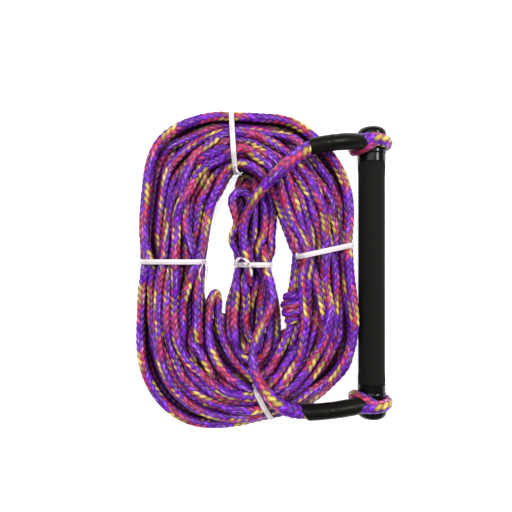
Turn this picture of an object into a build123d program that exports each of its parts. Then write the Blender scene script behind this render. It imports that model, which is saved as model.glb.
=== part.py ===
from build123d import *
import math
import os

os.makedirs("parts", exist_ok=True)

# All sizes in millimetres. The origin is on the ground, under the middle of the handle
# with its sleeves. The handle bar lies along Y, the coil of rope lies to its left.

# Handle bar, measured outwards along Y from its middle; both ends are alike
BAR_X = 26.0
BAR_HALF = 150.5
TUBE_R = 11.0
TUBE_BORE_R = 9.4
GRIP_HALF = 114.5
GRIP_R = 13.6
GRIP_END_R = 14.0
GRIP_SWELL = 6.0
COLLAR_R = 14.2
COLLAR_LIP_R = 14.7
COLLAR_LIP = 3.5
SKIRT_R = 12.4
SKIRT_START = 103.0
GROOVE_START = 127.0
GROOVE_END = 140.0
DRUM_R = 10.0
FLANGE_R = 15.2
DOME_DEPTH = 6.5
DOME_TOP_R = 7.0
STEM_START = 92.0
PIN_Y = 107.0
PIN_R = 1.5

# Rope and the eyes that the bar turns in
ROPE_D = 9.0
EYE_ROPE_R = 5.3
EYE_RING_R = 16.2
EYE_Y = (GROOVE_START + GROOVE_END) / 2
BAR_Z = EYE_RING_R + EYE_ROPE_R
BAR_AXIS = Axis((BAR_X, 0, BAR_Z), (0, 1, 0))

# Sleeves over the splices: an arc from the eye, up over the edge of the coil
SPLICE_R = 6.5
SLEEVE_BORE_R = 6.7
SLEEVE_R = 8.25
SLEEVE_SKIP = 0.13
SPLICE_ARCS = {
    "upper": ((13.5, 132.0, 37.5), (-13.7, 129.0, 50.0), (-41.0, 123.7, 52.5)),
    "lower": ((13.5, -132.0, 37.5), (-17.0, -135.2, 45.0), (-47.35, -136.6, 47.5)),
}

# Bridle legs, from each splice over the coil to the tie round the hank
LEG_POINTS = {
    "upper": [
        (-52.5, 116.5, 54.5),
        (-66.0, 104.6, 54.0),
        (-80.5, 92.0, 49.5),
        (-94.5, 77.0, 42.0),
        (-104.5, 60.0, 35.0),
        (-108.0, 41.5, 30.0),
        (-106.0, 23.6, 28.0),
        (-102.0, 7.0, 28.0),
    ],
    "lower": [
        (-62.0, -131.0, 51.5),
        (-76.0, -119.5, 53.5),
        (-88.0, -105.0, 51.0),
        (-94.5, -89.5, 46.5),
        (-93.0, -73.0, 42.0),
        (-86.5, -58.0, 37.5),
        (-80.0, -43.5, 34.0),
        (-76.0, -28.0, 31.0),
        (-77.5, -11.5, 29.0),
        (-84.0, 3.0, 28.0),
    ],
}

# Main coil: a flat-bottomed oval band of many turns
COIL_H = 42.0
COIL_OUTER_FILLET = 14.0
COIL_INNER_FILLET = 9.0
COIL_OUTER = [
    (-110, 165), (-165, 158), (-202, 131), (-213, 75), (-215, 10), (-219, -48),
    (-206, -122), (-160, -160), (-100, -157), (-45, -138), (-5, -108), (10, -45),
    (4, 20), (4, 85), (-17, 127), (-55, 156),
]
COIL_INNER = [
    (-115, 105), (-137, 70), (-147, 12), (-150, -40), (-146, -80), (-128, -106),
    (-104, -114), (-80, -106), (-62, -80), (-55, -40), (-54, 10), (-65, 47), (-73, 72),
    (-89, 97),
]

# Hank of the bridle, folded up and down inside the coil
HANK_H = 22.0
HANK_FILLET = 4.0
HANK_OUTLINE = [
    (-102.5, 101), (-103, 46), (-114.5, 16), (-114.5, -6), (-118.5, -55), (-114, -98),
    (-96, -110), (-78, -98), (-70.5, -58), (-79, -6), (-79, 18), (-75, 56), (-90, 98),
]
HANK_CORNER = 5.5

# Yoke eye beside the hank: a small stadium ring of rope
YOKE_CENTRE = (-114.8, 69.5)
YOKE_Z = 10.0
YOKE_SIZE = (38.0, 20.5)
YOKE_HOLE = (18.0, 3.5)
YOKE_TURN = 96.0

# Tow loop: two strands folded tight, along the inside of the coil
LOOP_H = 10.0
LOOP_OUTLINE = [
    (-124.5, -20), (-143, -20), (-147.5, -50), (-143, -82), (-124, -105), (-118, -101),
    (-121, -55),
]
LOOP_CORNER = 4.5

# Wrapped knot on the innermost strand
KNOT_CENTRE = (-56.5, -35.0, 30.0)
KNOT_R = 9.5
KNOT_LENGTH = 30.0
KNOT_TURN = 7.0

# Flat twist ties: centre, angle of the band across the bundle, inner width and height
TIE_T = 0.9
TIE_W = 5.0
TIE_CORNER = 12.0
TIE_FLOOR = 1.2
COIL_TIE_TOP = 41.0
TIES = {
    "tie_top": ((-117.2, 135.0), 94.0, 58.0),
    "tie_left": ((-180.8, 11.5), 0.0, 66.0),
    "tie_right": ((-25.2, 22.5), 12.0, 57.0),
    "tie_bottom": ((-88.5, -132.6), -63.0, 40.0),
}
HANK_TIE_CENTRE = (-97.4, 8.3)
HANK_TIE_WIDTH = 37.0
HANK_TIE_TOP = 33.5
HANK_TIE_CORNER = 8.0


def save(builder, name):
    builder.part.label = name
    export_step(builder.part, f"parts/{name}.step")


def bar_plane(side=1):
    """Sketch plane through the bar's axis: x outwards along the bar, y away from the axis."""
    return Plane(origin=(BAR_X, 0, BAR_Z), x_dir=(0, side, 0), z_dir=(side, 0, 0))


def pin_plane(side):
    return Plane(origin=(BAR_X, side * PIN_Y, BAR_Z), z_dir=(0, 0, 1))


def corner_radii(points):
    """The largest radius at each corner of a route that its two runs leave room for."""
    radii = []
    for before, corner, after in zip(points, points[1:], points[2:]):
        run_in = Vector(*corner) - Vector(*before)
        run_out = Vector(*after) - Vector(*corner)
        half_turn = math.radians(run_in.get_angle(run_out)) / 2
        radii.append(0.45 * min(run_in.length, run_out.length) / math.tan(half_turn))
    return radii


def tie_plane(centre, angle, bottom, top):
    """Plane across a bundle: x across it at the given angle, y upwards."""
    across = Vector(1, 0, 0).rotate(Axis.Z, angle)
    return Plane(
        origin=(centre[0], centre[1], (bottom + top) / 2),
        x_dir=across,
        z_dir=(across.Y, -across.X, 0),
    )


def tie_groove(centre, angle, width, bottom, top, corner):
    """What is cut out of a bundle to leave the shallow groove that a tie lies in."""
    with BuildPart() as groove:
        with BuildSketch(tie_plane(centre, angle, bottom, top)):
            Rectangle(width + 24, top - bottom + 24)
            RectangleRounded(width, top - bottom, corner, mode=Mode.SUBTRACT)
        extrude(amount=TIE_W / 2 + 0.3, both=True)
    return groove.part


def save_tie(name, centre, angle, width, bottom, top, corner):
    with BuildPart() as tie:
        with BuildSketch(tie_plane(centre, angle, bottom, top)):
            RectangleRounded(width + 2 * TIE_T, top - bottom + 2 * TIE_T, corner + TIE_T)
            RectangleRounded(width, top - bottom, corner, mode=Mode.SUBTRACT)
        extrude(amount=TIE_W / 2, both=True)
    save(tie, name)


# ---------------------------------------------------------------- handle bar

with BuildPart() as core_tube:
    with BuildSketch(Plane.XZ.offset(-GROOVE_START)) as tube_section:
        with Locations((BAR_X, BAR_Z)):
            Circle(TUBE_R)
            Circle(TUBE_BORE_R, mode=Mode.SUBTRACT)
    extrude(amount=2 * GROOVE_START)
    with BuildSketch(pin_plane(1), pin_plane(-1)):
        Circle(PIN_R)
    extrude(amount=SKIRT_R + 1, both=True, mode=Mode.SUBTRACT)
save(core_tube, "core_tube")

with BuildPart() as foam_grip:
    with BuildSketch(bar_plane()):
        with BuildLine():
            FilletPolyline(
                (0, GRIP_R),
                (GRIP_HALF - 2 * GRIP_SWELL, GRIP_R),
                (GRIP_HALF - GRIP_SWELL, GRIP_END_R),
                (GRIP_HALF - 1.5, GRIP_END_R),
                radius=4,
            )
            Polyline(
                (GRIP_HALF - 1.5, GRIP_END_R),
                (GRIP_HALF, GRIP_END_R - 1),
                (GRIP_HALF, SKIRT_R),
                (SKIRT_START, SKIRT_R),
                (SKIRT_START, TUBE_R),
                (0, TUBE_R),
                (0, GRIP_R),
            )
        make_face()
        mirror(about=Plane.YZ)
    revolve(axis=BAR_AXIS)
save(foam_grip, "foam_grip")

for end, side in (("upper", 1), ("lower", -1)):
    with BuildPart() as collar:
        with BuildSketch(bar_plane(side)):
            with BuildLine():
                Polyline(
                    (SKIRT_START, TUBE_R),
                    (SKIRT_START, SKIRT_R),
                    (GRIP_HALF, SKIRT_R),
                    (GRIP_HALF, COLLAR_R),
                    (GROOVE_START - COLLAR_LIP - 1.5, COLLAR_R),
                    (GROOVE_START - COLLAR_LIP, COLLAR_LIP_R),
                    (GROOVE_START - 0.8, COLLAR_LIP_R),
                    (GROOVE_START, COLLAR_LIP_R - 0.8),
                    (GROOVE_START, TUBE_R),
                    close=True,
                )
            make_face()
        revolve(axis=BAR_AXIS)
        with BuildSketch(pin_plane(side)):
            Circle(PIN_R)
        extrude(amount=SKIRT_R + 1, both=True, mode=Mode.SUBTRACT)
    save(collar, f"{end}_collar")

    with BuildPart() as cap:
        with BuildSketch(bar_plane(side)):
            with BuildLine():
                Polyline(
                    (BAR_HALF, DOME_TOP_R),
                    (BAR_HALF, 0),
                    (STEM_START, 0),
                    (STEM_START, TUBE_BORE_R - 1),
                    (STEM_START + 1, TUBE_BORE_R),
                    (GROOVE_START, TUBE_BORE_R),
                    (GROOVE_START, DRUM_R),
                    (GROOVE_END, DRUM_R),
                    (GROOVE_END, FLANGE_R - 1),
                    (GROOVE_END + 1, FLANGE_R),
                    (BAR_HALF - DOME_DEPTH, FLANGE_R),
                )
                ThreePointArc(
                    (BAR_HALF - DOME_DEPTH, FLANGE_R),
                    (BAR_HALF - 0.28 * DOME_DEPTH, FLANGE_R - 2.8),
                    (BAR_HALF, DOME_TOP_R),
                )
            make_face()
        revolve(axis=BAR_AXIS)
        with BuildSketch(pin_plane(side)):
            Circle(PIN_R)
        extrude(amount=SKIRT_R, both=True, mode=Mode.SUBTRACT)
    save(cap, f"{end}_cap")

    with BuildPart() as pin:
        with BuildSketch(pin_plane(side)):
            Circle(PIN_R)
        extrude(amount=SKIRT_R - 0.2, both=True)
        chamfer(pin.edges().filter_by(GeomType.CIRCLE), 0.3)
    save(pin, f"{end}_pin")

# ------------------------------------------------- rope eyes, splices and legs

for end, side in (("upper", 1), ("lower", -1)):
    with BuildPart() as eye:
        with BuildSketch(bar_plane(side)):
            with Locations((EYE_Y, EYE_RING_R)):
                Circle(EYE_ROPE_R)
        revolve(axis=BAR_AXIS)
    save(eye, f"{end}_eye")

    with BuildLine() as splice_line:
        ThreePointArc(*SPLICE_ARCS[end])
    splice_arc = splice_line.edge()

    with BuildPart() as splice:
        with BuildSketch(Plane(origin=splice_arc @ 0, z_dir=splice_arc % 0)):
            Circle(SPLICE_R)
        sweep(path=splice_arc)
    save(splice, f"{end}_splice")

    sleeve_arc = splice_arc.trim(SLEEVE_SKIP, 1)
    with BuildPart() as sleeve:
        with BuildSketch(Plane(origin=sleeve_arc @ 0, z_dir=sleeve_arc % 0)):
            Circle(SLEEVE_R)
            Circle(SLEEVE_BORE_R, mode=Mode.SUBTRACT)
        sweep(path=sleeve_arc)
    save(sleeve, f"{end}_sleeve")

    points = [tuple(splice_arc @ 1)] + LEG_POINTS[end]
    radii = corner_radii(points)
    with BuildPart() as leg:
        with BuildLine() as leg_line:
            FilletPolyline(*points, radius=radii)
        with BuildSketch(Plane(origin=leg_line.wire() @ 0, z_dir=leg_line.wire() % 0)):
            Circle(ROPE_D / 2)
        sweep(path=leg_line.wire())
    save(leg, f"{end}_leg")
    print(f"{end} leg: length {leg_line.wire().length:.1f}, smallest radius {min(radii):.1f},")
    section = math.pi * ROPE_D**2 / 4
    print(f"  volume over section times length {leg.part.volume / section / leg_line.wire().length:.4f}")

# ----------------------------------------------------------- coil, hank, loops

with BuildPart() as loop_knot:
    knot_plane = Plane(
        origin=KNOT_CENTRE,
        x_dir=(0, 0, 1),
        z_dir=Vector(0, 1, 0).rotate(Axis.Z, KNOT_TURN),
    )
    with BuildSketch(knot_plane):
        Circle(KNOT_R)
    extrude(amount=KNOT_LENGTH / 2, both=True)
    fillet(loop_knot.edges().filter_by(GeomType.CIRCLE), 3.5)
save(loop_knot, "loop_knot")

coil_grooves = [
    tie_groove(*place, TIE_FLOOR, COIL_TIE_TOP, TIE_CORNER) for place in TIES.values()
]
with BuildPart() as main_coil:
    with BuildSketch():
        with BuildLine():
            Spline(*COIL_OUTER, periodic=True)
        make_face()
    extrude(amount=COIL_H)
    fillet(main_coil.edges().filter_by(Plane.XY), COIL_OUTER_FILLET)
    with BuildSketch():
        with BuildLine():
            Spline(*COIL_INNER, periodic=True)
        make_face()
    extrude(amount=COIL_H, mode=Mode.SUBTRACT)
    add(coil_grooves + [loop_knot.part], mode=Mode.SUBTRACT)
save(main_coil, "main_coil")

HANK_TIE = (
    HANK_TIE_CENTRE,
    0,
    HANK_TIE_WIDTH,
    TIE_FLOOR,
    HANK_TIE_TOP,
    HANK_TIE_CORNER,
)
hank_groove = tie_groove(*HANK_TIE)
with BuildPart() as bridle_hank:
    with BuildSketch():
        with BuildLine():
            FilletPolyline(*HANK_OUTLINE, radius=HANK_CORNER, close=True)
        make_face()
    extrude(amount=HANK_H)
    fillet(bridle_hank.edges().filter_by(Plane.XY), HANK_FILLET)
    add(hank_groove, mode=Mode.SUBTRACT)
save(bridle_hank, "bridle_hank")

with BuildPart() as yoke_eye:
    with BuildSketch(Plane.XY.offset(YOKE_Z)):
        with Locations(Location((*YOKE_CENTRE, 0), (0, 0, YOKE_TURN))):
            SlotOverall(*YOKE_SIZE)
            SlotOverall(*YOKE_HOLE, mode=Mode.SUBTRACT)
    extrude(amount=ROPE_D)
    fillet(yoke_eye.edges().filter_by(Plane.XY), 3.0)
save(yoke_eye, "yoke_eye")

with BuildPart() as tow_loop:
    with BuildSketch():
        with BuildLine():
            FilletPolyline(*LOOP_OUTLINE, radius=LOOP_CORNER, close=True)
        make_face()
    extrude(amount=LOOP_H)
    fillet(tow_loop.edges().filter_by(Plane.XY), 3.0)
save(tow_loop, "tow_loop")

# ------------------------------------------------------------------------ ties

for name, place in TIES.items():
    save_tie(name, *place, TIE_FLOOR, COIL_TIE_TOP, TIE_CORNER)
save_tie("tie_middle", *HANK_TIE)
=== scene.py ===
import math

import bpy
import numpy as np
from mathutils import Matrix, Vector
from mathutils.bvhtree import BVHTree


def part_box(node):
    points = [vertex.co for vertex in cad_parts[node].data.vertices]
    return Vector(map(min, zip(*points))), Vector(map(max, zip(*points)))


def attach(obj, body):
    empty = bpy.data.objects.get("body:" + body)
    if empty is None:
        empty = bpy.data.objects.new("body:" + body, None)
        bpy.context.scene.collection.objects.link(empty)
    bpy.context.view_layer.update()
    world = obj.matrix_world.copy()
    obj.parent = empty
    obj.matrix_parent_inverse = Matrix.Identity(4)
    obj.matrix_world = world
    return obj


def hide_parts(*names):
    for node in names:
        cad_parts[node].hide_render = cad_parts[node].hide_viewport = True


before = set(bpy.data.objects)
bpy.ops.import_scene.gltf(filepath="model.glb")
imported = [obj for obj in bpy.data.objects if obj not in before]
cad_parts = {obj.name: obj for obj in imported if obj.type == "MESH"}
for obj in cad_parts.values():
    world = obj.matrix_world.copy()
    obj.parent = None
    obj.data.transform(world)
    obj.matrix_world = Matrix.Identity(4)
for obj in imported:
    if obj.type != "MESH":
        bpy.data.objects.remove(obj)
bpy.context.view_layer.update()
rng = np.random.default_rng(7)

# All sizes are in metres, in the CAD model's frame: the bar lies along Y, the coil to its left.

# ------------------------------------------------------------------ measures
ROPE_D = 0.009
ROPE_R = ROPE_D / 2
FLOOR_REST = 0.0055  # height of the lowest ropes' centres: their braid stands out beyond ROPE_R
BRAID_STRANDS = 6  # strands each way round, so six columns of lumps
BRAID_PITCH = 0.042  # length in which a strand goes once round the rope
BRAID_DEPTH = 0.0010  # from the crevices up to the lumps' crowns
BRAID_SUNK = 0.60  # share of that depth that lies inside the rope's radius
RING_STEP = 0.0012
RING_SIDES = 24
ROLL_STEP = 0.09  # from one such length to the next a rope turns over a little more or less
POINT_STEP = 0.0072  # between the points by which ropes settle

grip_low, grip_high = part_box("foam_grip")
BAR_X = (grip_low.x + grip_high.x) / 2
BAR_Z = (grip_low.z + grip_high.z) / 2
EYE_Y = 0.1330  # from the bar's middle to the grooves that the eyes run in

ANGLES = np.linspace(-math.pi, math.pi, 361)  # directions in which the coil's edges are measured

CAMERA_PLACE = (-0.094, 0.0174, 0.520)
CAMERA_LENS = 33.75


# ----------------------------------------------------------------- materials
class Nodes:
    """A short way to write a material's node tree as expressions."""

    def __init__(self, name):
        self.material = bpy.data.materials.new(name)
        self.material.use_nodes = True
        self.tree = self.material.node_tree
        self.shader = self.tree.nodes["Principled BSDF"]

    def add(self, kind, **settings):
        node = self.tree.nodes.new(kind)
        for key, value in settings.items():
            setattr(node, key, value)
        return node

    def put(self, socket, value):
        if isinstance(value, bpy.types.NodeSocket):
            self.tree.links.new(value, socket)
        elif value is not None:
            socket.default_value = value

    def math(self, operation, a, b=None, c=None):
        node = self.add("ShaderNodeMath", operation=operation)
        for socket, value in zip(node.inputs, (a, b, c)):
            self.put(socket, value)
        return node.outputs[0]

    def scaled(self, value, factor, offset=0.0):
        return self.math("MULTIPLY_ADD", value, factor, offset)

    def clamped(self, value):
        return self.math("MINIMUM", self.math("MAXIMUM", value, 0.0), 1.0)

    def noise(self, vector, scale, detail=2.0, roughness=0.5):
        node = self.add("ShaderNodeTexNoise")
        self.put(node.inputs["Vector"], vector)
        self.put(node.inputs["Scale"], scale)
        self.put(node.inputs["Detail"], detail)
        self.put(node.inputs["Roughness"], roughness)
        return node.outputs["Fac"]

    def ramp(self, factor, stops, interpolation="LINEAR"):
        node = self.add("ShaderNodeValToRGB")
        ramp = node.color_ramp
        ramp.interpolation = interpolation
        while len(ramp.elements) < len(stops):
            ramp.elements.new(1.0)
        for element, (place, colour) in zip(ramp.elements, stops):
            element.position = place
            element.color = (*colour, 1.0)
        self.put(node.inputs["Fac"], factor)
        return node.outputs["Color"]

    def mix(self, factor, a, b, blend="MIX"):
        node = self.add("ShaderNodeMix", data_type="RGBA", blend_type=blend)
        self.put(node.inputs["Factor"], factor)
        self.put(node.inputs["A"], a)
        self.put(node.inputs["B"], b)
        return node.outputs["Result"]

    def combine(self, x, y, z):
        node = self.add("ShaderNodeCombineXYZ")
        for socket, value in zip(node.inputs, (x, y, z)):
            self.put(socket, value)
        return node.outputs[0]

    def bump(self, height, strength, distance):
        node = self.add("ShaderNodeBump")
        node.inputs["Strength"].default_value = strength
        node.inputs["Distance"].default_value = distance
        self.put(node.inputs["Height"], height)
        self.put(self.shader.inputs["Normal"], node.outputs["Normal"])

    def position(self):
        return self.add("ShaderNodeTexCoord").outputs["Object"]


VIOLET = (0.195, 0.010, 0.580)
PURPLE = (0.130, 0.005, 0.380)
PLUM = (0.270, 0.016, 0.170)
RED = (0.470, 0.020, 0.085)
ROSE = (0.420, 0.030, 0.190)
YELLOW = (0.700, 0.480, 0.090)
GOLD = (0.420, 0.270, 0.045)
# painted highlight: the light colour of filaments that catch the light
FILAMENT_GLINT = (0.700, 0.520, 0.760)
PAINTED_SHADE = (0.038, 0.002, 0.024)  # painted shade: the colour deep between the ropes, where little light is left
BRIGHT_RUN = [YELLOW, YELLOW, GOLD, RED, RED, ROSE, PURPLE, VIOLET, PURPLE, VIOLET]
QUIET_RUN = [PURPLE, VIOLET, ROSE, RED, ROSE, PLUM, VIOLET, PURPLE, VIOLET, PURPLE]
COLOUR_RUN = len(BRIGHT_RUN)  # lumps along a column before its colours repeat
COLUMN_SHIFT = (0, 3, 1, 8, 6, 5)  # lumps that each column's colours are moved along
COLUMN_BRIGHT = (1, 0, 1, 0, 1, 0)  # which columns have the bright run
GAP_REACH = 0.012  # how near another rope has to be to shade this one


def braid_cells(n):
    """The braid's pattern, from a UV map with u in pitches along the rope and v in turns round it.

    Gives u and v, how far a place is along and across the strand on top, from 0 to 1, and the
    numbers of its lump and of its column of lumps.
    """
    split = n.add("ShaderNodeSeparateXYZ")
    n.put(split.inputs[0], n.add("ShaderNodeUVMap", uv_map="braid").outputs[0])
    u, v = split.outputs[0], split.outputs[1]
    p = n.math("MULTIPLY", n.math("ADD", u, v), BRAID_STRANDS)
    q = n.math("MULTIPLY", n.math("SUBTRACT", u, v), BRAID_STRANDS)
    ip, iq = n.math("FLOOR", p), n.math("FLOOR", q)
    fp, fq = n.math("SUBTRACT", p, ip), n.math("SUBTRACT", q, iq)
    turn = n.math("FLOORED_MODULO", n.math("SUBTRACT", ip, iq), 2.0 * BRAID_STRANDS)
    column = n.math("FLOOR", n.math("MULTIPLY", turn, 0.5))
    over = n.math("LESS_THAN", n.math("FLOORED_MODULO", turn, 4.0), 1.5)
    half = n.math("MULTIPLY", n.math("FLOORED_MODULO", turn, 2.0), 0.5)

    def choose(s_value, z_value):
        """One value where a strand of the first direction is on top, the other elsewhere."""
        node = n.add("ShaderNodeMix", data_type="FLOAT")
        n.put(node.inputs[0], over)
        n.put(node.inputs[2], z_value)
        n.put(node.inputs[3], s_value)
        return node.outputs[0]

    along = choose(
        n.math("MULTIPLY_ADD", n.math("SUBTRACT", 1.0, fq), 0.5, half),
        n.math("MULTIPLY_ADD", fp, 0.5, half),
    )
    across = choose(fp, fq)
    lump = choose(
        n.math("SUBTRACT", ip, column), n.math("ADD", n.math("ADD", iq, column), 1.0)
    )
    return u, v, along, across, lump, column


def strand_colour(n, lump, column):
    """The bright or the quiet run of colours along each column, from a start of its own."""

    def steps(factor, colours):
        count = len(colours)
        return n.ramp(
            n.math("DIVIDE", n.math("ADD", factor, 0.5), float(count)),
            [(k / count, colour) for k, colour in enumerate(colours)],
            "CONSTANT",
        )

    def by_column(values):
        return steps(column, [(value,) * 3 for value in values])

    shift = n.math("MULTIPLY", by_column([k / COLOUR_RUN for k in COLUMN_SHIFT]), COLOUR_RUN)
    place = n.math("FLOORED_MODULO", n.math("ROUND", n.math("ADD", lump, shift)), COLOUR_RUN)
    return n.mix(by_column(COLUMN_BRIGHT), steps(place, QUIET_RUN), steps(place, BRIGHT_RUN))


def rope_material():
    """Hollow braid of glossy polypropylene: coloured lumps of fine filaments."""
    n = Nodes("braided_rope")
    u, v, along, across, lump, column = braid_cells(n)
    hump = n.math("SINE", n.math("MULTIPLY", along, math.pi))
    crown = n.math("SINE", n.math("MULTIPLY", across, math.pi))
    dome = n.math("MULTIPLY", hump, crown)
    height = n.math("MULTIPLY", n.math("POWER", hump, 0.5), n.math("POWER", crown, 0.5))

    # each lump a little lighter or darker at random, with fine filaments along it; painted shade
    # darkens the crevices between lumps and painted highlight lightens their crowns
    chance = n.add("ShaderNodeTexWhiteNoise", noise_dimensions="2D")
    n.put(chance.inputs["Vector"], n.combine(lump, column, 0.0))
    streak_place = n.combine(
        n.scaled(across, 7.0), n.scaled(along, 0.9), n.math("ADD", lump, column)
    )
    streak = n.noise(streak_place, 1.0, 3.0, 0.65)
    tone_and_shade = n.scaled(streak, 1.5, 0.13)
    tone_and_shade = n.math("MULTIPLY", tone_and_shade, n.scaled(chance.outputs["Value"], 0.7, 0.75))
    # painted highlight and shade: lumps lighter at their crowns, darker in the crevices between them
    tone_and_shade = n.math("MULTIPLY", tone_and_shade, n.scaled(dome, 0.72, 0.45))

    # painted highlight: single filaments are lightened as if they catch the light, and here and there
    # a loose one runs on along the rope as a light line
    thread_place = n.combine(n.scaled(across, 13.0), n.scaled(along, 1.3), n.scaled(lump, 3.7))
    thread = n.clamped(n.scaled(n.noise(thread_place, 1.0, 1.0), 7.0, -4.25))
    hair_place = n.combine(n.scaled(v, 22.0), n.scaled(u, 1.6), 5.0)
    hair = n.clamped(n.scaled(n.noise(hair_place, 1.0, 1.0), 14.0, -9.0))
    filament_glint = n.math("MAXIMUM", n.scaled(thread, 0.5), n.scaled(hair, 0.6))

    # painted shade: darker where ropes lie close to each other, from an ambient occlusion node
    gap = n.add("ShaderNodeAmbientOcclusion", samples=6)
    gap.inputs["Distance"].default_value = GAP_REACH
    unshaded_share = n.clamped(n.scaled(gap.outputs["AO"], 1.9, -0.60))

    colour = n.mix(filament_glint, strand_colour(n, lump, column), (*FILAMENT_GLINT, 1.0))
    colour = n.mix(1.0, colour, n.combine(tone_and_shade, tone_and_shade, tone_and_shade), "MULTIPLY")
    n.put(n.shader.inputs["Base Color"], n.mix(unshaded_share, (*PAINTED_SHADE, 1.0), colour))
    rough = n.scaled(height, -0.38, 0.58)
    n.put(n.shader.inputs["Roughness"], n.math("MULTIPLY_ADD", streak, 0.2, rough))
    n.shader.inputs["Specular IOR Level"].default_value = 0.40
    n.shader.inputs["Specular Tint"].default_value = (0.95, 0.80, 1.0, 1.0)
    n.shader.inputs["Sheen Weight"].default_value = 0.05
    n.shader.inputs["Sheen Roughness"].default_value = 0.35
    n.shader.inputs["Sheen Tint"].default_value = (0.85, 0.60, 0.85, 1.0)
    n.bump(n.math("MULTIPLY_ADD", streak, 0.5, dome), 0.3, 0.0006)
    return n.material


def plain(name, colour, roughness, bump_scale=0.0, bump_strength=0.0, **sockets):
    """A moulded or coated surface with a fine grain and slightly uneven gloss."""
    n = Nodes(name)
    place = n.position()
    patch = n.noise(place, 90.0, 4.0)
    factor = n.math("MULTIPLY_ADD", patch, 0.5, 0.75)
    n.put(
        n.shader.inputs["Base Color"],
        n.mix(1.0, (*colour, 1.0), n.combine(factor, factor, factor), "MULTIPLY"),
    )
    n.put(n.shader.inputs["Roughness"], n.math("MULTIPLY_ADD", patch, 0.25, roughness - 0.12))
    for key, value in sockets.items():
        n.shader.inputs[key.replace("_", " ")].default_value = value
    if bump_strength:
        n.bump(n.noise(place, bump_scale, 3.0), bump_strength, 0.0004)
    return n.material


# -------------------------------------------------------------- rope geometry
def nurbs_line(points):
    """Points along the smooth NURBS line that has these points as its control points."""
    curve = bpy.data.curves.new("route", "CURVE")
    curve.dimensions = "3D"
    curve.resolution_u = 6
    spline = curve.splines.new("NURBS")
    spline.points.add(len(points) - 1)
    spline.points.foreach_set("co", np.column_stack([points, np.ones(len(points))]).ravel())
    spline.order_u = 3
    spline.use_endpoint_u = True
    carrier = bpy.data.objects.new("route", curve)
    mesh = bpy.data.meshes.new_from_object(carrier)
    line = np.zeros(len(mesh.vertices) * 3)
    mesh.vertices.foreach_get("co", line)
    bpy.data.objects.remove(carrier)
    bpy.data.curves.remove(curve)
    bpy.data.meshes.remove(mesh)
    return line.reshape(-1, 3)


def run_of(line):
    """Distance along a line to each of its points."""
    return np.concatenate([[0], np.cumsum(np.linalg.norm(np.diff(line, axis=0), axis=1))])


def points_at(line, places):
    """The points at these distances along a line."""
    run = run_of(line)
    return np.column_stack([np.interp(places, run, values) for values in line.T])


def even(line, step):
    """The same line with points an even distance apart, close to step."""
    length = run_of(line)[-1]
    return points_at(line, np.linspace(0, length, max(2, round(length / step) + 1)))


def rope_line(points):
    """A rope's centre line, with a point for each ring of its mesh."""
    return even(nurbs_line(points), RING_STEP)


def frames_along(line):
    """Two unit vectors across the line at each point, carried along it without twisting."""
    tangent = np.gradient(line, axis=0)
    tangent /= np.linalg.norm(tangent, axis=1)[:, None]
    side = np.zeros_like(line)
    start = np.cross(tangent[0], (0.0, 0.0, 1.0))
    if np.linalg.norm(start) < 0.2:
        start = np.cross(tangent[0], (1.0, 0.0, 0.0))
    side[0] = start / np.linalg.norm(start)
    for k in range(1, len(line)):
        s = side[k - 1] - tangent[k] * (side[k - 1] @ tangent[k])
        side[k] = s / math.sqrt(s @ s)
    return side, np.cross(tangent, side)


def braid_height(u, v):
    """How far the braid stands out at length u, in pitches, and angle v, in turns: 0 to 1."""
    p, q = BRAID_STRANDS * (u + v), BRAID_STRANDS * (u - v)
    cell = (np.floor(p) - np.floor(q)) % 4
    fp, fq = p % 1, q % 1
    over = cell < 1.5
    along = (np.where(over, 1 - fq, fp) + cell % 2) / 2
    across = np.where(over, fp, fq)
    return np.sqrt(np.abs(np.sin(np.pi * along) * np.sin(np.pi * across)))


def skin(name, rings, closed=False, u=None):
    """A smooth mesh through rings of points, capped at its ends unless it closes on itself."""
    count, sides = rings.shape[:2]
    i, j = np.meshgrid(np.arange(count - (not closed)), np.arange(sides), indexing="ij")
    following, k = (i + 1) % count, (j + 1) % sides
    faces = np.stack(
        [i * sides + j, i * sides + k, following * sides + k, following * sides + j], -1
    )
    faces = faces.reshape(-1, 4).tolist()
    if not closed:
        faces += [list(range(sides))[::-1], list(range((count - 1) * sides, count * sides))]
    mesh = bpy.data.meshes.new(name)
    mesh.from_pydata(rings.reshape(-1, 3).tolist(), [], faces)
    if u is not None:
        turn, next_turn = j / sides, (j + 1) / sides
        corners = np.stack([u[i], turn, u[i], next_turn, u[i + 1], next_turn, u[i + 1], turn], -1)
        flat = np.zeros(len(mesh.loops) * 2)
        flat[: corners.size] = corners.reshape(-1)
        mesh.uv_layers.new(name="braid").data.foreach_set("uv", flat)
    mesh.polygons.foreach_set("use_smooth", [True] * len(mesh.polygons))
    mesh.update()
    piece = bpy.data.objects.new(name, mesh)
    bpy.context.scene.collection.objects.link(piece)
    return piece


def dress(piece, material, slot, *nodes):
    """Gives a piece of the rope assembly its material, hangs it on the rope body and hides the CAD
    nodes it stands for; slot is not used.
    """
    piece.data.materials.append(material)
    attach(piece, "rope")
    if nodes:
        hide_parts(*nodes)


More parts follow.
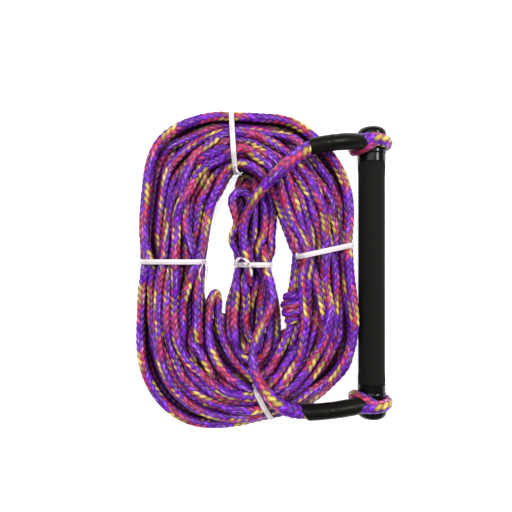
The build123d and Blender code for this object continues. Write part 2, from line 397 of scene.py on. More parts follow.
def rope(names, line, swell=None, wide=1.0, tall=1.0, roll=0.9):
    """A braided rope along a line, cut into as many pieces as there are names.

    swell gives its thickness for distances along it, wide and tall change its section, and roll
    is how much it turns over as it lies.
    """
    side, up = frames_along(line)
    run = run_of(line)
    knots = rng.uniform(0, 6) + np.cumsum(rng.normal(0, roll, int(run[-1] / ROLL_STEP) + 3))
    turn = np.interp(run / ROLL_STEP, np.arange(len(knots)), knots * (roll > 0))[:, None]
    side, up = side * np.cos(turn) + up * np.sin(turn), up * np.cos(turn) - side * np.sin(turn)
    u = run / BRAID_PITCH
    v = np.arange(RING_SIDES) / RING_SIDES
    radius = ROPE_R - BRAID_DEPTH * BRAID_SUNK + BRAID_DEPTH * braid_height(u[:, None], v[None, :])
    if swell is not None:
        radius = radius * swell(run)[:, None]
    across = (radius * np.cos(2 * np.pi * v) * wide)[:, :, None]
    along_up = (radius * np.sin(2 * np.pi * v) * tall)[:, :, None]
    rings = line[:, None] + side[:, None] * across + up[:, None] * along_up
    cuts = np.linspace(0, len(line) - 1, len(names) + 1).astype(int)
    parts = [slice(a, b + 1) for a, b in zip(cuts, cuts[1:])]
    return [(skin(name, rings[part], u=u[part]), line[part]) for name, part in zip(names, parts)]


# ------------------------------------------------------------ settling ropes
SETTLE_STEPS = 160
SINK_STEP = 0.00012  # how far ropes sink in one step
CONTACT = 0.97 * ROPE_D  # ropes that lie on each other press in a little
WATCH_REACH = 1.3 * ROPE_D  # pairs of points closer than this are watched for contact
WATCH_STEPS = 6  # steps until those pairs are looked for again
WATCH_BLOCK = 500
BEND_SHARE = 0.03
PUSH_SHARE = 0.42
CROWD_SHARE = 0.45
STRETCH_SHARE = 0.35
TINY = 1e-6


def near_pairs(pos, rope_id, moving):
    """Pairs of points that are close to each other, apart from neighbours along a rope."""
    square = (pos**2).sum(1)
    found = []
    for a in range(0, moving, WATCH_BLOCK):
        b = min(a + WATCH_BLOCK, moving)
        far = square[a:b, None] + square[None, a:] - 2 * pos[a:b] @ pos[a:].T
        i, j = np.nonzero(far < WATCH_REACH**2)
        i, j = i + a, j + a
        keep = (j > i) & ((rope_id[i] != rope_id[j]) | (j - i > 3))
        found.append(np.stack([i[keep], j[keep]]))
    return np.concatenate(found, axis=1)


def push_apart(pos, pairs):
    """Moves points away from each other where their ropes overlap."""
    i, j = pairs
    apart = pos[j] - pos[i]
    far = np.linalg.norm(apart, axis=1)
    near = far < CONTACT
    i, j, apart, far = i[near], j[near], apart[near], far[near]
    push = apart * ((CONTACT - far) / np.maximum(far, TINY) * PUSH_SHARE)[:, None]
    move = np.zeros_like(pos)
    hits = np.zeros(len(pos))
    for target, sign in ((i, -1), (j, 1)):
        np.add.at(move, target, sign * push)
        np.add.at(hits, target, 1)
    pos += move / np.maximum(1, hits * CROWD_SHARE)[:, None]


def keep_spacing(pos, first, rest):
    """Draws neighbours along a rope back to the distance that they started with."""
    run = pos[first + 1] - pos[first]
    span = np.linalg.norm(run, axis=1)
    fix = run * ((span - rest) / np.maximum(span, TINY) * STRETCH_SHARE)[:, None]
    np.add.at(pos, first, fix)
    np.add.at(pos, first + 1, -fix)


def settle(ropes, walls, fixed, hold):
    """Settles wound rope: its turns are pushed apart, down and inside their walls.

    ropes are arrays of centre points an even step apart. fixed are points that don't move.
    hold is how strongly each moving point keeps to its own place in plan.
    """
    pos = np.concatenate([*ropes, fixed])
    home = pos.copy()
    moving = len(pos) - len(fixed)
    rope_id = np.repeat([*range(len(ropes)), -1], [*map(len, ropes), len(fixed)])
    first = np.where((rope_id[:-1] == rope_id[1:]) & (rope_id[:-1] >= 0))[0]
    rest = np.linalg.norm(pos[first + 1] - pos[first], axis=1)
    inner = first[np.isin(first + 1, first)] + 1
    for step in range(SETTLE_STEPS):
        if step % WATCH_STEPS == 0:
            pairs = near_pairs(pos, rope_id, moving)
        ease = 1 - step / SETTLE_STEPS
        pos[:moving, 2] -= SINK_STEP * (0.2 + ease)
        pos[:moving, :2] += (home - pos)[:moving, :2] * hold[:, None]
        # a bent rope leans back: each point to the middle of its neighbours
        pull = (pos[inner - 1] + pos[inner + 1]) / 2 - pos[inner]
        pos[inner] += BEND_SHARE * pull
        push_apart(pos, pairs)
        keep_spacing(pos, first, rest)
        pos[moving:] = fixed
        for k, wall in enumerate(walls):
            mine = rope_id == k
            pos[mine] = wall(pos[mine])
    return [pos[rope_id == k] for k in range(len(ropes))]


def outline(node, centre, height, outside):
    """Distance from centre to a CAD node's wall, inner or outer, for evenly spaced directions."""
    tree = BVHTree.FromObject(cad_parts[node], bpy.context.evaluated_depsgraph_get())
    reach = []
    for angle in ANGLES:
        way = Vector((math.cos(angle), math.sin(angle), 0))
        origin = Vector((centre[0], centre[1], height))
        if outside:
            hit = tree.ray_cast(origin + way * 0.5, -way)
        else:
            hit = tree.ray_cast(origin, way)
        reach.append((hit[0] - origin).length)
    return np.array(reach)


SQUEEZE_REACH = 0.016  # how far to both sides of a tie its bundle is drawn in
BAND_LIFT = 0.001  # the lowest ropes lie on the band
BAND_LIFT_REACH = 0.012


class Tie:
    """A flat twist tie round a bundle: its plane, and how wide the bundle is inside it."""

    def __init__(self, name, centre, angle, width, reach):
        self.name = name
        self.centre = np.array(centre)
        self.across = np.array([math.cos(math.radians(angle)), math.sin(math.radians(angle)), 0])
        self.along = np.array([self.across[1], -self.across[0], 0])
        self.width = width
        self.reach = reach

    def place(self, points):
        """How far points are across the bundle and along it from the tie."""
        away = points - self.centre
        return away @ self.across, away @ self.along

    def squeeze(self, points):
        """Draws points in to the tie's width, and lifts the lowest of them onto its band."""
        across, along = self.place(points)
        near = (np.abs(along) < SQUEEZE_REACH) & (np.abs(across) < self.width / 2 + SQUEEZE_REACH)
        limit = self.width / 2 - ROPE_R + SQUEEZE_REACH * (along / SQUEEZE_REACH) ** 2
        move = np.where(near, np.clip(across, -limit, limit) - across, 0.0)
        points += move[:, None] * self.across
        lift = BAND_LIFT * np.exp(-((along / BAND_LIFT_REACH) ** 2)) * near
        points[:, 2] = np.maximum(points[:, 2], FLOOR_REST + lift)
        return points

    def crossings(self, lines):
        """Where ropes pass through the tie's plane: across the bundle, and up."""
        found = []
        for line in lines:
            across, along = self.place(line)
            k = np.nonzero(along[:-1] * along[1:] < 0)[0]
            part = along[k] / (along[k] - along[k + 1])
            s = across[k] + part * (across[k + 1] - across[k])
            z = line[k, 2] + part * (line[k + 1, 2] - line[k, 2])
            found += [(a, b) for a, b in zip(s, z) if abs(a) < self.reach]
        return np.array(found)


COIL_TIES = [
    Tie("tie_top", (-0.1172, 0.1350, 0), 94, 0.058, 0.040),
    Tie("tie_left", (-0.1808, 0.0115, 0), 0, 0.066, 0.045),
    Tie("tie_right", (-0.0252, 0.0225, 0), 12, 0.057, 0.040),
    Tie("tie_bottom", (-0.0860, -0.1318, 0), -63, 0.043, 0.030),
]
HANK_TIE = Tie("tie_middle", (-0.0974, 0.0083, 0), 0, 0.037, 0.028)

# ----------------------------------------------------------------- main coil
COIL_CENTRE = np.array([-0.101, -0.004])
COIL_MID_HEIGHT = 0.021  # where the CAD coil's edges are measured
COIL_BULGES = (  # where the coil is fuller or slacker: degrees, spread, and how far out
    (116, 10, 0.0010),
    (137, 10, -0.0035),
    (76, 9, 0.0030),
    (178, 10, -0.0030),
    (-160, 14, -0.0020),
    (-88, 14, -0.0035),
)
COIL_TURNS = 31
COIL_ROWS = 5
COIL_COLUMNS = 6  # turns side by side in a row, and one more in the lowest
COIL_LAYER = 0.0079
COIL_TOP = 0.0480
COIL_START = -2.2  # the angle at which its lower end lies
COIL_END = 0.115  # the part of a turn that its upper end runs on for
COIL_TUCK = 0.3  # the part of a turn in which that end turns in, under the lower leg
TURN_POINTS = 180
TOP_ORDER = (1.0, 3.8, 2.0, 4.2, 0.0, 3.0)  # columns of the top turns, which cross over each other
CROSSING_LIFT = 0.005  # every second top turn starts this much higher, so that it lies over others
CROSSING_TURNS = 7
CROSSING_PLACE = 0.60  # the part of a turn after which they cross: down the left side
OUTER_ROUND = 0.017  # how much further in the ropes at the outer edge's top and bottom lie
INNER_ROUND = 0.008  # and how much further out those at the inner edge's top, above this height
INNER_ROUND_FROM = 0.02
FOOT_ANGLE = -1.80  # the lowest turns spread inwards here: how wide, how high and how far
FOOT_WIDTH = 0.55
FOOT_HEIGHT = 0.011
FOOT_SPREAD = 0.040
coil_inner = outline("main_coil", COIL_CENTRE, COIL_MID_HEIGHT, False)
coil_outer = outline("main_coil", COIL_CENTRE, COIL_MID_HEIGHT, True)
for middle, spread, outward in COIL_BULGES:
    coil_outer += outward * np.exp(-(((np.degrees(ANGLES) - middle) / spread) ** 2))


def inner_limit(angle, height):
    """Distance to the coil's inner edge: at the bottom of the coil its lowest turns spread inwards."""
    there = np.clip(1.7 - np.abs(angle - FOOT_ANGLE) / FOOT_WIDTH, 0, 1)
    spread = there * np.clip(1.7 - height / FOOT_HEIGHT, 0, 1)
    return np.interp(angle, ANGLES, coil_inner) - FOOT_SPREAD * spread


def coil_walls(points):
    """Keeps the coil's points between its inner and outer outline, and between floor and top."""
    out = points[:, :2] - COIL_CENTRE
    reach = np.linalg.norm(out, axis=1)
    angle = np.arctan2(out[:, 1], out[:, 0])
    # the edges are rounded: the top and bottom ropes stay further in
    rise = np.clip(np.abs(points[:, 2] / COIL_TOP - 0.5) * 2 - 0.5, 0, 1) ** 1.5
    upper = points[:, 2] > INNER_ROUND_FROM
    low = inner_limit(angle, points[:, 2]) + ROPE_R + INNER_ROUND * rise * upper
    high = np.interp(angle, ANGLES, coil_outer) - ROPE_R - OUTER_ROUND * rise
    new = np.clip(reach, low, np.maximum(high, low))
    points[:, :2] = COIL_CENTRE + out * (new / reach)[:, None]
    points[:, 2] = np.clip(points[:, 2], FLOOR_REST, COIL_TOP - ROPE_R)
    for tie in COIL_TIES:
        points = tie.squeeze(points)
    return points


def coil_slots():
    """Where each turn runs: its place from the inner edge, 0, to the outer, 1, and its height."""
    slots = []
    for row in range(COIL_ROWS):
        top = row == COIL_ROWS - 1
        columns = COIL_COLUMNS + (row == 0)
        order = range(columns) if row % 2 == 0 else range(columns - 1, -1, -1)
        shift = 0.25 + 0.5 * (row % 2)
        for k, column in enumerate(TOP_ORDER if top else order):
            height = ROPE_R + row * COIL_LAYER + CROSSING_LIFT * (top and k % 2)
            slots.append(((column + shift) / columns, height))
    return np.array(slots + slots[-1:] * 2)  # past its last turn the rope stays in that slot


def coil_start():
    """The wound coil before it settles: layer on layer, each turn with a wander of its own."""
    slots = coil_slots()
    change = rng.uniform(0.05, 0.6, COIL_TURNS + 1)
    change[-CROSSING_TURNS:] = CROSSING_PLACE
    t = np.linspace(0, COIL_TURNS + COIL_END, COIL_TURNS * TURN_POINTS)
    turn = t.astype(int)
    w = np.clip((t - turn - change[turn]) / 0.4, 0, 1)
    w = (w * w * (3 - 2 * w))[:, None]
    place = slots[turn] * (1 - w) + slots[turn + 1] * w
    wander = np.zeros(len(t))
    for waves in (1, 2, 3, 5):
        knots = rng.normal(0, 1, (COIL_TURNS + 1) * waves + 2)
        wander += np.interp(t * waves, np.arange(len(knots)), knots) / waves
    angle = (COIL_START + 2 * np.pi * t + np.pi) % (2 * np.pi) - np.pi
    low = inner_limit(angle, place[:, 1]) + ROPE_R
    high = np.interp(angle, ANGLES, coil_outer) - ROPE_R
    # the higher a turn lies, the looser it is
    layer = (place[:, 1] - ROPE_R) / (COIL_LAYER * 4)
    loose = 0.03 + 0.15 * layer + 0.12 * (layer > 0.95)
    across = np.clip(place[:, 0] + wander * loose, 0.0, 1.0)
    across *= np.clip((t[-1] - t) / COIL_TUCK, 0, 1)
    reach = low + (high - low) * across
    x = COIL_CENTRE[0] + reach * np.cos(angle)
    y = COIL_CENTRE[1] + reach * np.sin(angle)
    return even(np.column_stack([x, y, place[:, 1] + 0.0005 * wander]), POINT_STEP)


# --------------------------------------------------------------- bridle hank
HANK_TOP = 0.0310
HANK_RISE = 0.0085  # its belly lies on the coil's lowest turns
WAIST_Y = 0.0083  # at the tie
NECK_Y = 0.0400
BELLY_Y = -0.0420
# The folds: X of the left strand at the belly and the waist, X of the right strand at the belly,
# the waist and the neck, Y of the lower and the upper end, and the height of the fold
HANK_FOLDS = [
    ((-0.1240, -0.1110), (-0.0725, -0.0840, -0.0780), -0.0985, 0.1010, 0.0060),
    ((-0.1090, -0.1020), (-0.0995, -0.0930, -0.0880), -0.0880, 0.1040, 0.0055),
    ((-0.1175, -0.1105), (-0.0780, -0.0925, -0.0835), -0.0930, 0.1025, 0.0150),
    ((-0.1050, -0.1010), (-0.0895, -0.0835, -0.0790), -0.0720, 0.1010, 0.0170),
]
# X and height of the neck to which each fold's head, but the last one's, turns over
HANK_NECKS = [(-0.1020, 0.0055), (-0.1130, 0.0055), (-0.0960, 0.0150)]
HANK_START = [  # the hidden run under the folds
    (-0.0890, -0.0930, 0.0055),
    (-0.0875, -0.0700, 0.0055),
    (-0.0910, -0.0420, 0.0055),
    (-0.0945, -0.0150, 0.0055),
    (-0.0950, 0.0083, 0.0055),
    (-0.0945, 0.0400, 0.0055),
    (-0.0950, 0.0760, 0.0060),
    (-0.1030, 0.1010, 0.0065),
    (-0.1110, 0.0760, 0.0070),
    (-0.1130, 0.0420, 0.0070),
    (-0.1125, 0.0260, 0.0060),
]
HANK_END = [(-0.0790, 0.0900, 0.0130), (-0.0770, 0.1080, 0.0120)]


def fold_points(left, right, foot, head, height):
    """One fold of the hank: down from the waist on the left, round its foot and up to its head."""
    belly, waist = left
    far_belly, far_waist, far_neck = right
    reach = far_belly - belly
    high = height + HANK_RISE
    return [
        (waist, WAIST_Y, height),
        (0.6 * waist + 0.4 * belly, -0.0150, height),
        (belly, BELLY_Y, (height + high) / 2),
        (belly - 0.001, foot + 0.0260, high),
        (belly + 0.14 * reach, foot + 0.0060, high),
        (belly + 0.50 * reach, foot - 0.0030, high),
        (far_belly - 0.14 * reach, foot + 0.0060, high),
        (far_belly + 0.001, foot + 0.0260, high),
        (far_belly, BELLY_Y, (height + high) / 2),
        (0.6 * far_waist + 0.4 * far_belly, -0.0150, height),
        (far_waist, WAIST_Y, height),
        (far_neck + 0.001, NECK_Y, height),
        (far_neck, head - 0.0220, height),
    ]


def head_points(from_neck, from_height, to_neck, to_height, head):
    """The turn at the top of a fold, over to the left strand of the next one."""
    return [
        (from_neck - 0.0010, head - 0.0060, from_height),
        ((from_neck + to_neck) / 2, head + 0.0040, to_height),
        (to_neck + 0.0010, head - 0.0060, to_height),
        (to_neck, head - 0.0220, to_height),
        (to_neck, NECK_Y, to_height),
    ]


def hank_route():
    points = list(HANK_START)
    for k, fold in enumerate(HANK_FOLDS):
        points += fold_points(*fold)
        if k < len(HANK_NECKS):
            left, right, foot, head, height = fold
            points += head_points(right[2], height, *HANK_NECKS[k], head)
    return points + HANK_END


def hank_walls(points):
    """Keeps the hank's points between floor and top, and inside the middle tie."""
    points[:, 2] = np.clip(points[:, 2], FLOOR_REST, HANK_TOP - ROPE_R)
    return HANK_TIE.squeeze(points)


# --------------------------------------------------------------- rope routes
SPLICE = {
    "upper": [(0.0135, 0.1320, 0.0375), (-0.0137, 0.1302, 0.0550), (-0.0410, 0.1237, 0.0525)],
    "lower": [(0.0135, -0.1320, 0.0375), (-0.0171, -0.1361, 0.0475), (-0.0473, -0.1366, 0.0475)],
}
LEG_ROUTE = {
    "upper": [
        (-0.0410, 0.1237, 0.0525),
        (-0.0525, 0.1165, 0.0545),
        (-0.0660, 0.1046, 0.0540),
        (-0.0805, 0.0920, 0.0495),
        (-0.0945, 0.0770, 0.0420),
        (-0.1045, 0.0600, 0.0350),
        (-0.1080, 0.0415, 0.0300),
        (-0.1060, 0.0260, 0.0280),
        (-0.1032, 0.0130, 0.0265),
        (-0.1015, 0.0020, 0.0258),
        (-0.1005, -0.0060, 0.0190),
        (-0.0990, -0.0170, 0.0060),
    ],
    "lower": [
        (-0.0473, -0.1366, 0.0475),
        (-0.0600, -0.1345, 0.0510),
        (-0.0740, -0.1265, 0.0535),
        (-0.0870, -0.1140, 0.0515),
        (-0.0955, -0.0980, 0.0470),
        (-0.0985, -0.0800, 0.0425),
        (-0.0930, -0.0620, 0.0380),
        (-0.0840, -0.0450, 0.0345),
        (-0.0770, -0.0290, 0.0315),
        (-0.0780, -0.0130, 0.0285),
        (-0.0828, 0.0010, 0.0265),
        (-0.0845, 0.0140, 0.0258),
        (-0.0852, 0.0220, 0.0190),
        (-0.0860, 0.0330, 0.0060),
    ],
}
YOKE_ROUTE = [
    (-0.1050, 0.0083, 0.0200),
    (-0.1130, 0.0220, 0.0200),
    (-0.1205, 0.0350, 0.0200),
    (-0.1120, 0.0510, 0.0215),
    (-0.1160, 0.0630, 0.0230),
    (-0.1200, 0.0765, 0.0240),
    (-0.1110, 0.0850, 0.0245),
    (-0.1010, 0.0810, 0.0245),
    (-0.0995, 0.0700, 0.0230),
    (-0.1055, 0.0560, 0.0205),
    (-0.1085, 0.0400, 0.0195),
    (-0.1030, 0.0240, 0.0195),
    (-0.0990, 0.0083, 0.0205),
]
TOW_ROUTE = [
    (-0.0960, -0.1120, 0.0260),
    (-0.1060, -0.1020, 0.0220),
    (-0.1210, -0.0880, 0.0180),
    (-0.1300, -0.0680, 0.0140),
    (-0.1355, -0.0450, 0.0120),
    (-0.1335, -0.0290, 0.0130),
    (-0.1365, -0.0190, 0.0150),
    (-0.1415, -0.0280, 0.0180),
    (-0.1435, -0.0420, 0.0210),
    (-0.1440, -0.0600, 0.0250),
    (-0.1400, -0.0800, 0.0290),
    (-0.1290, -0.0985, 0.0340),
    (-0.1120, -0.1120, 0.0380),
    (-0.0960, -0.1200, 0.0390),
]
KNOT_ROUTE = [
    (-0.0510, 0.0300, 0.0310),
    (-0.0530, 0.0120, 0.0330),
    (-0.0555, -0.0070, 0.0330),
    (-0.0570, -0.0250, 0.0310),
    (-0.0570, -0.0450, 0.0300),
    (-0.0600, -0.0590, 0.0300),
    (-0.0665, -0.0735, 0.0300),
    (-0.0745, -0.0890, 0.0310),
    (-0.0830, -0.1030, 0.0335),
    (-0.0930, -0.1130, 0.0360),
]

# The spliced end of a leg is doubled: distance from the sleeve, and how much thicker it is
LEG_SWELL = ((0.0, 0.012, 0.030, 0.055, 0.078), (0.40, 0.54, 0.45, 0.20, 0.0))

FINE_GRAIN = 900.0
ROPE = rope_material()
FOAM = plain("grip_foam", (0.0085, 0.0085, 0.0072), 0.9, 2600.0, 0.7, Specular_IOR_Level=0.12)
GLOSS = plain("end_plastic", (0.004, 0.004, 0.0035), 0.22, FINE_GRAIN, 0.06, Specular_IOR_Level=0.14)
VINYL = plain("sleeve_vinyl", (0.0055, 0.005, 0.0035), 0.36, 500.0, 0.1, Specular_IOR_Level=0.10)
TIE = plain("tie_plastic", (0.72, 0.66, 0.68), 0.45, FINE_GRAIN, 0.1)
ALLOY = plain("tube_alloy", (0.70, 0.70, 0.72), 0.4, FINE_GRAIN, 0.1, Metallic=1.0)

# ------------------------------------------------ coil, hank, loops and legs
STILL_STEP = 0.006  # between the points of ropes that stay where they are
COIL_HOLD = 0.012  # share of the way back to its first place that a rope goes in one step
HANK_HOLD = 0.06

legs = {end: rope_line(route) for end, route in LEG_ROUTE.items()}
tow_line = rope_line(TOW_ROUTE)
knot_line = rope_line(KNOT_ROUTE)
yoke_line = rope_line(YOKE_ROUTE)
still = [*legs.values(), tow_line, knot_line, yoke_line]
coil_first = coil_start()
hank_first = even(nurbs_line(hank_route()), POINT_STEP)
coil_points, hank_points = settle(
    [coil_first, hank_first],
    [coil_walls, hank_walls],
    np.concatenate([even(line, STILL_STEP) for line in still]),
    np.repeat([COIL_HOLD, HANK_HOLD], [len(coil_first), len(hank_first)]),
)
coil_line = rope_line(coil_points)
hank_line = rope_line(hank_points)

coil_pieces = rope([f"coil_rope_{k}" for k in "abcdef"], coil_line, wide=1.08, tall=1.08)
for k, (piece, line) in enumerate(coil_pieces):
    dress(piece, ROPE, "braided_rope", *(["main_coil"] if k == 0 else []))

for name, line, node, lay in (
    ("hank_rope", hank_line, "bridle_hank", "coiled"),
    ("yoke_rope", yoke_line, "yoke_eye", "loose"),
    ("tow_loop_rope", tow_line, "tow_loop", "loose"),
):
    piece, line = rope([name], line, roll=0.7)[0]
    dress(piece, ROPE, "braided_rope", node)


def leg_swell(run):
    return 1.0 + np.interp(run, *LEG_SWELL)


for end, line in legs.items():
    piece, line = rope([f"{end}_leg_rope"], line, swell=leg_swell, roll=0.5)[0]
    dress(piece, ROPE, "braided_rope", f"{end}_leg")

# ----------------------------------------------------------------------- knot
KNOT_Y = -0.0350
KNOT_UP = 0.0175  # how far the wraps reach along the strand, to both sides of that place
KNOT_DOWN = 0.0165
KNOT_TURNS = 4.3
KNOT_R = 0.0072


def wraps(line, start, stop):
    """A rope's route wound round a line: a barrel of turns, tucked in at both ends."""
    side, up = frames_along(line)
    run = run_of(line)
    places = np.linspace(start, stop, 400)
    k = np.interp(places, run, np.arange(len(run))).round().astype(int)
    part = np.linspace(0, 1, len(places))
    angle = 2 * np.pi * KNOT_TURNS * part
    out = KNOT_R * np.sin(np.pi * part) ** 0.7
    ring = side[k] * np.cos(angle)[:, None] + up[k] * np.sin(angle)[:, None]
    return even(points_at(line, places) + ring * out[:, None], RING_STEP)


knot_place = np.argmin(np.abs(knot_line[:, 1] - KNOT_Y)) * RING_STEP
wrap_line = wraps(knot_line, knot_place - KNOT_UP, knot_place + KNOT_DOWN)
knot_wraps, _ = rope(["knot_wraps"], wrap_line, roll=2.2, wide=1.1, tall=1.05)[0]
dress(knot_wraps, ROPE, "braided_rope", "loop_knot")
knot_strand, line = rope(["knot_strand"], knot_line, roll=0.7)[0]
dress(knot_strand, ROPE, "braided_rope")

# --------------------------------------------------- eyes, splices and sleeves
EYE_TURN = [  # degrees round the bar from above, distance from its axis, and shift outwards
    (112, 0.0205, 0.0012),
    (82, 0.0180, 0.0014),
    (46, 0.0170, 0.0005),
    (8, 0.0170, 0.0),
    (-32, 0.0168, 0.0),
    (-72, 0.0164, 0.0),
    (-112, 0.0164, 0.0),
    (-148, 0.0172, -0.0010),
    (-180, 0.0200, -0.0055),
    (-208, 0.0212, -0.0080),
    (-232, 0.0212, -0.0065),
    (-256, 0.0195, -0.0030),
    (-280, 0.0175, 0.0),
]
EYE_ENDS = ((0.0, 0.004, 0.014), (0.6, 0.7, 1.0))  # distance from an end, and thickness there
SPLICE_SWELL = 1.42
SLEEVE_R = 0.0082
SLEEVE_SIDES = 48
# From inside a sleeve's mouth to its outer face: distance from the end, and radius
SLEEVE_MOUTH = [(0.006, 0.0068), (0.0006, 0.0069), (0.0, 0.0074), (0.0006, 0.0080)]
SLEEVE_WAVE = 0.00009
LEAN_REACH = 0.02
LOWER_SLANT = 0.004  # the lower sleeve's mouth is cut at a slant


def eye_route(side):
    """Out of the sleeve, once round the drum, and back up over its own start."""
    into = [(-0.0020, side * 0.1320, 0.0445), (0.0080, side * 0.1328, 0.0430)]
    ring = [
        (
            BAR_X + reach * math.cos(math.radians(angle)),
            side * (EYE_Y + shift),
            BAR_Z + reach * math.sin(math.radians(angle)),
        )
        for angle, reach, shift in EYE_TURN
    ]
    return np.array(into + ring)


def eye_swell(run):
    return np.interp(np.minimum(run, run[-1] - run), *EYE_ENDS)


def splice_swell(run):
    return np.full(len(run), SPLICE_SWELL)


def sleeve_rings(line, slant):
    """A vinyl tube pushed over a splice: slightly wrinkled, turned in at its mouths."""
    side, up = frames_along(line)
    run = run_of(line)
    total = run[-1]
    angle = 2 * np.pi * np.arange(SLEEVE_SIDES) / SLEEVE_SIDES
    outside = [(place, SLEEVE_R) for place in np.linspace(0.002, total - 0.002, 60)]
    far_mouth = [(total - place, radius) for place, radius in reversed(SLEEVE_MOUTH)]
    rings = []
    for place, radius in SLEEVE_MOUTH + outside + far_mouth:
        k = int(np.interp(place, run, np.arange(len(run))))
        wrinkle = SLEEVE_WAVE * np.sin(place * 420 + 3 * np.sin(place * 160))
        wave = wrinkle * (1 + np.sin(angle * 2 + place * 90))
        lean = slant * max(0.0, 1 - (total - place) / LEAN_REACH)
        ahead = np.cross(up[k], side[k])
        ring = side[k] * np.cos(angle)[:, None] + up[k] * np.sin(angle)[:, None]
        at = points_at(line, [place])
        rings.append(at + ring * (radius + wave)[:, None] - ahead * (np.cos(angle) * lean)[:, None])
    return np.array(rings)


for end, side in (("upper", 1), ("lower", -1)):
    eye_line = rope_line(eye_route(side))
    piece, _ = rope([f"{end}_eye_rope"], eye_line, swell=eye_swell, wide=1.36, tall=1.10, roll=0.0)[0]
    dress(piece, ROPE, "braided_rope", f"{end}_eye")
    splice_line = rope_line(SPLICE[end])
    seen_part = splice_line[len(splice_line) // 2 :]
    piece, _ = rope([f"{end}_splice_rope"], seen_part, swell=splice_swell, roll=0.0)[0]
    dress(piece, ROPE, "braided_rope", f"{end}_splice")
    slant = LOWER_SLANT if end == "lower" else 0.0
    piece = skin(f"{end}_vinyl_sleeve", sleeve_rings(splice_line, slant))
    dress(piece, VINYL, "sleeve_vinyl", f"{end}_sleeve")


# ----------------------------------------------------------------------- ties
# A flat strip with a wire in its middle, in millimetres: across it, and out from the bundle
HALF_STRIP = [(2.6, 0.2), (2.4, 0.42), (1.1, 0.45), (0.75, 0.6), (0.45, 0.92)]
MIRRORED = [(-x, y) for x, y in reversed(HALF_STRIP)]
TIE_PROFILE = np.array([(-2.5, 0.0), (2.5, 0.0), *HALF_STRIP, (0.0, 1.02), *MIRRORED]) / 1000
BAND_GAP = 0.0012  # from a rope's radius to the band, which lies on the braid's lumps
BAND_STEP = 0.0012
TAIL_STEP = 0.0006
TAIL_THIN = 0.8
TIE_TAILS = [  # name, turns of twist, width as a share of the band's, and route
    ("tie_top_tail", 0.8, 0.5, [
        (-0.1150, 0.1090, 0.0400), (-0.1140, 0.1040, 0.0420), (-0.1120, 0.1000, 0.0400),
        (-0.1085, 0.0990, 0.0380),
    ]),
    ("tie_left_tail_a", 1.2, 0.4, [
        (-0.1500, 0.0120, 0.0410), (-0.1465, 0.0090, 0.0430), (-0.1500, 0.0040, 0.0410),
        (-0.1515, -0.0030, 0.0380), (-0.1500, -0.0090, 0.0340),
    ]),
    ("tie_left_tail_b", 0.9, 0.4, [
        (-0.1500, 0.0130, 0.0400), (-0.1440, 0.0130, 0.0400), (-0.1420, 0.0070, 0.0380),
        (-0.1440, -0.0060, 0.0330),
    ]),
    ("tie_middle_tail_a", 1.6, 0.6, [
        (-0.1150, 0.0050, 0.0290), (-0.1160, 0.0110, 0.0320), (-0.1090, 0.0170, 0.0340),
        (-0.1020, 0.0120, 0.0345), (-0.0990, 0.0040, 0.0345), (-0.0985, -0.0030, 0.0330),
    ]),
    ("tie_middle_tail_b", 1.4, 0.6, [
        (-0.1080, 0.0100, 0.0330), (-0.1030, 0.0100, 0.0360), (-0.0990, 0.0060, 0.0370),
        (-0.0950, 0.0080, 0.0350),
    ]),
    ("tie_right_tail_a", 1.0, 0.4, [
        (-0.0520, 0.0160, 0.0400), (-0.0545, 0.0190, 0.0410), (-0.0520, 0.0210, 0.0420),
        (-0.0480, 0.0200, 0.0430),
    ]),
]


def hull(points):
    """The convex hull of points in a plane, anticlockwise."""
    points = sorted(map(tuple, points))
    halves = []
    for run in (points, points[::-1]):
        half = []
        for p in run:
            while len(half) > 1:
                (ax, ay), (bx, by) = half[-2], half[-1]
                if (bx - ax) * (p[1] - ay) - (by - ay) * (p[0] - ax) > 0:
                    break
                half.pop()
            half.append(p)
        halves += half[:-1]
    return np.array(halves)


def strip(name, line, out, across, profile, closed=False):
    """A flat strip along a line, with its face turned outwards."""
    over = across[:, None] * profile[:, 0][:, None]
    away = out[:, None] * profile[:, 1][:, None]
    return skin(name, line[:, None] + over + away, closed)


def tie_band(tie, lines):
    """The strip drawn tight round the ropes that pass through the tie."""
    centres = tie.crossings(lines)
    turn = np.linspace(0, 2 * np.pi, 24, endpoint=False)
    circle = np.column_stack([np.cos(turn), np.sin(turn)]) * (ROPE_R + BAND_GAP)
    edge = hull((centres[:, None] + circle).reshape(-1, 2))
    # height is given twice, so that points are closer to each other at the steep sides
    loop = even(np.vstack([edge, edge[:1]])[:, [0, 1, 1]], BAND_STEP)[:-1, :2]
    for _ in range(3):
        loop = (np.roll(loop, 1, 0) + 2 * loop + np.roll(loop, -1, 0)) / 4
    ahead = np.roll(loop, -1, 0) - np.roll(loop, 1, 0)
    ahead /= np.linalg.norm(ahead, axis=1)[:, None]
    upwards = np.array([0, 0, 1])
    out = tie.across * ahead[:, 1:] + upwards * -ahead[:, :1]
    line = tie.centre + tie.across * loop[:, :1] + upwards * loop[:, 1:]
    piece = strip(f"{tie.name}_band", line, out, np.tile(tie.along, (len(line), 1)), TIE_PROFILE, True)
    dress(piece, TIE, "tie_plastic", tie.name)


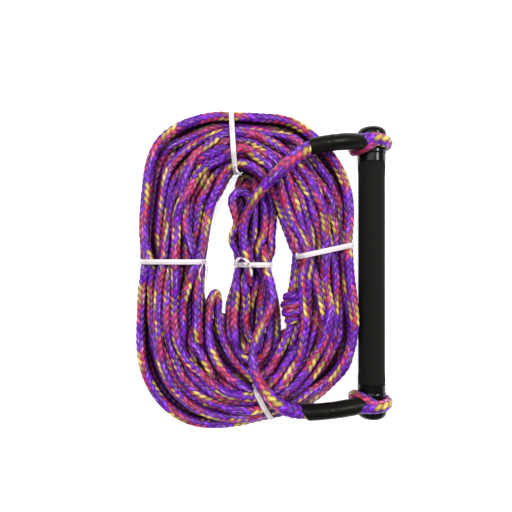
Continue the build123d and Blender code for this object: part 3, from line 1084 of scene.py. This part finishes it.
def tie_tail(name, twist, width, route):
    """A loose end of a tie, twisted along its length."""
    line = even(nurbs_line(route), TAIL_STEP)
    side, up = frames_along(line)
    angle = np.linspace(0, twist * 2 * np.pi, len(line))[:, None]
    across = side * np.cos(angle) + up * np.sin(angle)
    out = up * np.cos(angle) - side * np.sin(angle)
    piece = strip(name, line, out, across, TIE_PROFILE * (width, TAIL_THIN))
    dress(piece, TIE, "tie_plastic")


for tie in COIL_TIES:
    tie_band(tie, [coil_line])
tie_band(HANK_TIE, [hank_line, yoke_line, *legs.values()])
for tail in TIE_TAILS:
    tie_tail(*tail)

# ---------------------------------------------------------- parts kept from CAD
CAD_LOOKS = {"grip": FOAM, "tube": ALLOY, "pin": ALLOY, "cap": GLOSS, "collar": GLOSS}
for name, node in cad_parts.items():
    look = CAD_LOOKS.get(name.split("_")[-1])
    if look:
        node.data.materials.clear()
        node.data.materials.append(look)

# ------------------------------------------------------- floor, light, camera
bpy.ops.mesh.primitive_plane_add(size=6)
floor = bpy.context.object
floor.name = "floor"
floor_look = Nodes("floor")
floor_look.shader.inputs["Base Color"].default_value = (0.93, 0.93, 0.93, 1)
floor_look.shader.inputs["Roughness"].default_value = 0.9
floor_look.shader.inputs["Emission Color"].default_value = (1, 1, 1, 1)
floor_look.shader.inputs["Emission Strength"].default_value = 0.75
floor.data.materials.append(floor_look.material)

world = bpy.data.worlds.new("studio")
world.use_nodes = True
world.node_tree.nodes["Background"].inputs["Color"].default_value = (1, 1, 1, 1)
world.node_tree.nodes["Background"].inputs["Strength"].default_value = 0.2
bpy.context.scene.world = world


def area_light(name, place, size, power):
    light = bpy.data.lights.new(name, "AREA")
    light.size = size
    light.energy = power
    ob = bpy.data.objects.new(name, light)
    ob.location = place
    ob.rotation_euler = (-Vector(place)).to_track_quat("-Z", "Y").to_euler()
    bpy.context.scene.collection.objects.link(ob)


area_light("key", (1.0, 0.5, 1.35), 0.35, 20)
area_light("fill", (-0.5, 0.5, 1.5), 1.4, 26)

camera = bpy.data.objects.new("camera", bpy.data.cameras.new("camera"))
camera.location = CAMERA_PLACE
camera.data.lens = CAMERA_LENS
camera.data.sensor_width = 36
camera.data.clip_start = 0.01
bpy.context.scene.collection.objects.link(camera)
bpy.context.scene.camera = camera
bpy.context.scene.view_settings.view_transform = "Standard"
